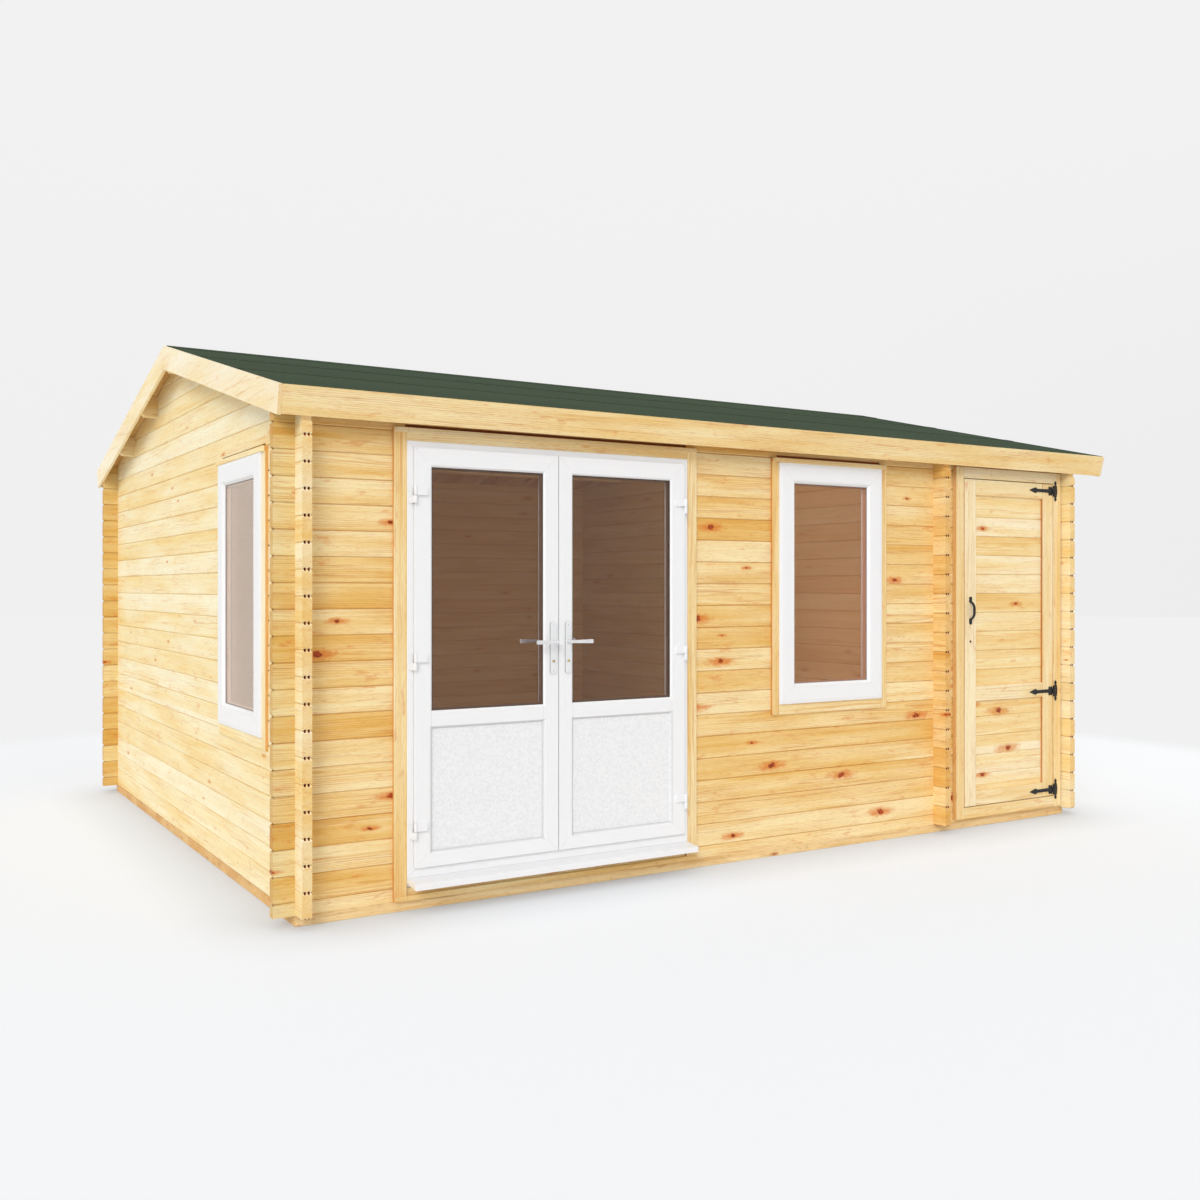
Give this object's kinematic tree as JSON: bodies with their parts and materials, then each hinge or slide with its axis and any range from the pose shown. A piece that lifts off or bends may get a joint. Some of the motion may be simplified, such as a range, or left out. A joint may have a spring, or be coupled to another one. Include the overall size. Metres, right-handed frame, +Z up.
{
  "type": "log cabin",
  "caption": "Garden log cabin of interlocking logs with a felted pitched roof, a glazed double door, two windows and a side store with its own boarded door.",
  "frame": {"origin": "ground level, centre of the roof's outline", "axes": "+X right along the front, +Y from the front to the rear, +Z up"},
  "size_m": [5.384, 4.382, 2.824],
  "materials": {
    "log": "clear finished softwood",
    "sawn": "planed softwood",
    "floor": "planed softwood",
    "felt": "green mineral felt",
    "white": "white foiled",
    "glass": "clear",
    "steel": "satin",
    "black": "black"
  },
  "bodies": {
    "building": {"front_wall_left": "log", "front_wall_middle": "log", "front_wall_under_window": "log", "front_wall_right": "log", "front_wall_corner": "log", "front_sills": "log", "front_wall_top": "log", "rear_wall": "log", "left_gable_front": "log", "left_gable_under_window": "log", "left_gable_rear": "log", "left_gable_top": "log", "right_gable": "log", "partition_wall": "log", "bearers": "sawn", "purlins": "sawn", "roof_boards_front": "sawn", "roof_boards_rear": "sawn", "fascias": "sawn", "bargeboards": "sawn", "door_trim": "sawn", "front_window_trim": "sawn", "side_window_trim": "sawn", "store_frame": "sawn", "floor_main": "floor", "floor_store": "floor", "roof_felt": "felt", "door_frame": "white", "door_cill": "white", "front_window_frame": "white", "side_window_frame": "white", "door_hinges_fixed": "white", "window_glass": "glass", "store_hinges_fixed": "black"},
    "left_door": {"left_leaf": "white", "left_leaf_glass": "glass", "left_leaf_fittings": "white"},
    "left_handle": {"left_lever": "steel"},
    "right_door": {"right_leaf": "white", "right_leaf_glass": "glass", "right_leaf_fittings": "white"},
    "right_handle": {"right_lever": "steel"},
    "store_door": {"store_leaf": "sawn", "store_hinge_straps": "black", "store_pull": "black"}
  },
  "joints": [
    {"name": "left_door_hinge", "type": "hinge", "parent": "building", "child": "left_door", "pos_m": [-2.047, -2.103, 1.112], "axis": [0, 0, -1], "range_deg": [0, 105]},
    {"name": "right_door_hinge", "type": "hinge", "parent": "building", "child": "right_door", "pos_m": [-0.564, -2.103, 1.112], "axis": [0, 0, 1], "range_deg": [0, 105]},
    {"name": "store_door_hinge", "type": "hinge", "parent": "building", "child": "store_door", "pos_m": [2.3175, -2.096, 1.112], "axis": [0, 0, 1], "range_deg": [0, 105]},
    {"name": "left_lever_turn", "type": "hinge", "parent": "left_door", "child": "left_handle", "pos_m": [-1.337, -2.061, 1.193], "axis": [0, -1, 0], "range_deg": [0, 45], "stiffness_Nm_per_rad": 0.8, "springref_deg": -22.92},
    {"name": "right_lever_turn", "type": "hinge", "parent": "right_door", "child": "right_handle", "pos_m": [-1.254, -2.061, 1.193], "axis": [0, 1, 0], "range_deg": [0, 45], "stiffness_Nm_per_rad": 0.8, "springref_deg": -22.92}
  ]
}
